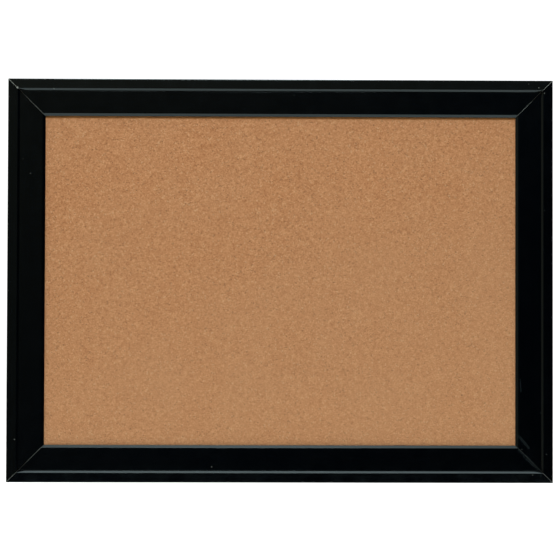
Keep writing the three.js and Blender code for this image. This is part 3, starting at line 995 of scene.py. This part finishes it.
def build_camera():
    forward = Vector((
        math.sin(CAMERA_YAW) * math.cos(CAMERA_PITCH),
        math.cos(CAMERA_YAW) * math.cos(CAMERA_PITCH),
        math.sin(CAMERA_PITCH),
    ))
    right = Vector((math.cos(CAMERA_YAW), -math.sin(CAMERA_YAW), 0))
    up = right.cross(forward)
    rolled_right = math.cos(CAMERA_ROLL) * right + math.sin(CAMERA_ROLL) * up
    rolled_up = -math.sin(CAMERA_ROLL) * right + math.cos(CAMERA_ROLL) * up
    data = bpy.data.cameras.new("camera")
    data.lens = LENS
    data.sensor_width = 36
    data.clip_start, data.clip_end = 0.01, 50
    camera = bpy.data.objects.new("camera", data)
    turned = Matrix((rolled_right, rolled_up, -forward)).transposed().to_4x4()
    camera.matrix_world = Matrix.Translation(AIM - forward * CAMERA_AWAY) @ turned
    bpy.context.scene.collection.objects.link(camera)
    bpy.context.scene.camera = camera


def build_world():
    """A studio: bright above and below, most so to the back, dim in front, and white to the camera."""
    world = bpy.data.worlds.new("studio")
    bpy.context.scene.world = world
    graph = Graph(world, "Generated")
    x, y, z = graph.axes()
    upright = graph.math("MULTIPLY_ADD", graph.math("ABSOLUTE", x), -0.5, graph.math("ABSOLUTE", z))
    bright = graph.step(graph.math("MULTIPLY_ADD", y, 0.5, upright), 0.5, 0.9, 0.0, 2.1)

    # The dim side is warmer and lighter up to the left, and a little lighter towards the ceiling.
    corner = graph.step(graph.math("SUBTRACT", z, x), -0.3, 1.3)
    ceiling = graph.step(z, 0.12, 0.45, 0.0, 0.13)
    dim = graph.math("ADD", ceiling, graph.math("MULTIPLY_ADD", corner, 0.2, 0.003))
    tint = graph.mix(graph.step(corner, 0.0, 0.22), (0.6, 0.95, 1.4), (1.12, 1.0, 0.75))

    around = graph.nodes.new("ShaderNodeAddShader")
    for socket, colour, strength in zip(around.inputs, ((0.94, 1, 1.05, 1), tint), (bright, dim)):
        graph.put(socket, graph.glow(colour, strength))
    choose = graph.nodes.new("ShaderNodeMixShader")
    graph.put(choose.inputs[0], graph.nodes.new("ShaderNodeLightPath").outputs["Is Camera Ray"])
    graph.put(choose.inputs[1], around.outputs["Shader"])
    graph.put(choose.inputs[2], graph.glow((1, 1, 1, 1), 1.2))
    graph.put(graph.nodes["World Output"].inputs["Surface"], choose.outputs["Shader"])


def soft_box(name, spot, width, height, power):
    """An area light that faces the middle of the board."""
    data = bpy.data.lights.new(name, "AREA")
    data.shape = "RECTANGLE"
    data.size, data.size_y = width, height
    data.energy = power
    lamp = bpy.data.objects.new(name, data)
    lamp.location = spot
    lamp.rotation_euler = (Vector((0, FRONT, 0)) - Vector(spot)).to_track_quat("-Z", "Y").to_euler()
    bpy.context.scene.collection.objects.link(lamp)


def build_stage():
    """A pale floor below the board, which glows a little far behind it."""
    below, before, beside, behind = 0.35, 0.9, 1.2, 12
    level = -HEIGHT / 2 - below
    corners = ((-beside, -before), (beside, -before), (beside, behind), (-beside, behind))
    points = [(x, y, level) for x, y in corners]
    look = Look("pale_floor", Roughness=0.9, Base_Color=(0.86, 0.86, 0.85, 1), Emission_Color=(1, 1, 1, 1))
    _, y, _ = look.axes()
    look.set("Emission Strength", look.step(y, 0.5, 1.5, 0.0, 0.5))
    mesh_object("floor", points, [(0, 1, 2, 3)], [look.material])


build_camera()
build_world()
soft_box("key_above", (-0.15, -1.35, 1.75), 0.8, 0.6, 32.5)
soft_box("rear", (0.8, 1.8, 1.6), 1.4, 1.4, 22)
build_stage()

build_rails()
build_cork()
for side_name, amount in POINTS.items():
    for number in range(amount):
        build_point(side_name, number)
for side_name, names in HANGERS.items():
    for hanger in names:
        matrix = hanger_matrix(SIDES[side_name], f"hanger_strap_{hanger}")
        build_strap(hanger, matrix)
        build_ring(hanger, matrix)
        build_screw(hanger, matrix)
for corner_name in CORNERS:
    build_bumper(corner_name)
    for depth_name in ("outer", "inner"):
        dress(f"v_nail_{corner_name}_{depth_name}", NAIL_STEEL, 0.05 * MM)
dress("softboard_core", SOFTBOARD, 0.2 * MM)
dress("hardboard_back", HARDBOARD, 0.3 * MM)

bpy.context.scene.view_settings.view_transform = "Standard"
